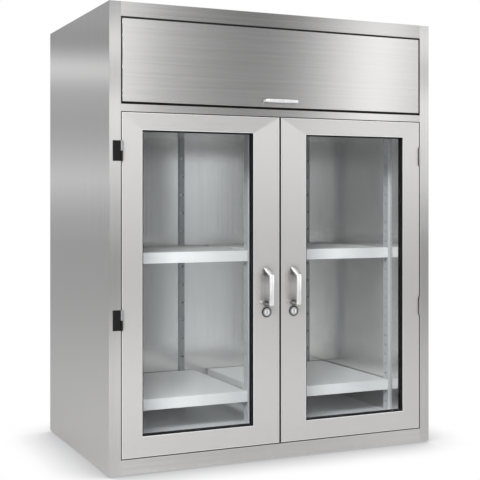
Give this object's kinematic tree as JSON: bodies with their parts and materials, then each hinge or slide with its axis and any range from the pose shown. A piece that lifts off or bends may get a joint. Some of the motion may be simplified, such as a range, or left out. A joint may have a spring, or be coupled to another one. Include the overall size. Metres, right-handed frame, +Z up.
{
  "type": "garment cabinet",
  "caption": "Stainless steel cleanroom garment cabinet: glazed hinged doors with bow pulls and turn locks below a lift-up flap, adjustable shelves inside, levelling glides beneath.",
  "frame": {"origin": "centre of the floor footprint, handles included", "axes": "+X to the viewer's right, +Y towards the back, +Z up"},
  "size_m": [1.219, 0.795, 1.524],
  "materials": {
    "sheet": "brushed stainless sheet",
    "liner": "satin stainless sheet inside the cabinet",
    "shelving": "satin stainless shelf sheet",
    "polished": "polished",
    "hardware": "zinc plated",
    "black_metal": "black powder coat",
    "rubber": "black rubber",
    "nylon": "black nylon",
    "pane": "clear toughened glass"
  },
  "bodies": {
    "cabinet": {"side_skin_left": "sheet", "side_skin_right": "sheet", "side_liners": "liner", "back_panel": "sheet", "back_liner": "liner", "top_panel": "sheet", "floor_pan": "sheet", "deck_pan": "sheet", "ceiling_panel": "liner", "top_rail": "sheet", "middle_rail": "sheet", "bottom_rail": "sheet", "door_stops": "liner", "base_channels": "hardware", "floor_glides": "nylon", "centre_post": "shelving", "wall_standards": "shelving", "post_standards": "shelving", "rear_standards": "shelving", "low_shelf_left": "shelving", "low_shelf_right": "shelving", "mid_shelf_left": "shelving", "mid_shelf_right": "shelving", "shelf_clips": "shelving", "hinge_leaves_right": "hardware", "hinge_plates_left": "black_metal", "hinge_pins": "hardware", "flap_hinge_pin": "hardware", "flap_hinge_frame_leaf": "black_metal"},
    "door_left": {"door_frame_left": "sheet", "door_liner_left": "liner", "glazing_gasket_left": "rubber", "window_glass_left": "pane", "door_seal_left": "rubber", "door_handle_left": "polished", "door_hinge_leaves_left": "hardware", "lock_body_left": "polished"},
    "lock_left": {"lock_plug_left": "polished"},
    "upper_rod_left": {"upper_latch_rod_left": "hardware"},
    "lower_rod_left": {"lower_latch_rod_left": "hardware"},
    "door_right": {"door_frame_right": "sheet", "door_liner_right": "liner", "glazing_gasket_right": "rubber", "window_glass_right": "pane", "door_seal_right": "rubber", "door_handle_right": "polished", "door_hinge_leaves_right": "hardware", "lock_body_right": "polished"},
    "lock_right": {"lock_plug_right": "polished"},
    "upper_rod_right": {"upper_latch_rod_right": "hardware"},
    "lower_rod_right": {"lower_latch_rod_right": "hardware"},
    "flap": {"flap_pan": "sheet", "flap_liner": "liner", "flap_handle": "polished", "flap_seal": "rubber", "flap_hinge_leaf": "black_metal"}
  },
  "joints": [
    {"name": "door_left_swing", "type": "hinge", "parent": "cabinet", "child": "door_left", "pos_m": [-0.5685, -0.3563, 0.6], "axis": [0, 0, -1], "range_deg": [0, 170]},
    {"name": "lock_left_turn", "type": "hinge", "parent": "door_left", "child": "lock_left", "pos_m": [-0.05175, -0.3525, 0.505], "axis": [0, 1, 0], "range_deg": [0, 90]},
    {"name": "upper_rod_left_slide", "type": "slide", "parent": "door_left", "child": "upper_rod_left", "axis": [0, 0, 1], "range_m": [0, 0.014]},
    {"name": "lower_rod_left_slide", "type": "slide", "parent": "door_left", "child": "lower_rod_left", "axis": [0, 0, -1], "range_m": [0, 0.014]},
    {"name": "door_right_swing", "type": "hinge", "parent": "cabinet", "child": "door_right", "pos_m": [0.5685, -0.3563, 0.6], "axis": [0, 0, 1], "range_deg": [0, 170]},
    {"name": "lock_right_turn", "type": "hinge", "parent": "door_right", "child": "lock_right", "pos_m": [0.05175, -0.3525, 0.505], "axis": [0, -1, 0], "range_deg": [0, 90]},
    {"name": "upper_rod_right_slide", "type": "slide", "parent": "door_right", "child": "upper_rod_right", "axis": [0, 0, 1], "range_m": [0, 0.014]},
    {"name": "lower_rod_right_slide", "type": "slide", "parent": "door_right", "child": "lower_rod_right", "axis": [0, 0, -1], "range_m": [0, 0.014]},
    {"name": "flap_lift", "type": "hinge", "parent": "cabinet", "child": "flap", "pos_m": [0, -0.3515, 1.474], "axis": [-1, 0, 0], "range_deg": [0, 90]}
  ],
  "couplings": [
    {"joint": "lock_left_turn", "follows": "upper_rod_left_slide", "rad_per_m": 112.19},
    {"joint": "lower_rod_left_slide", "follows": "upper_rod_left_slide", "ratio": 1},
    {"joint": "lock_right_turn", "follows": "upper_rod_right_slide", "rad_per_m": 112.19},
    {"joint": "lower_rod_right_slide", "follows": "upper_rod_right_slide", "ratio": 1}
  ]
}
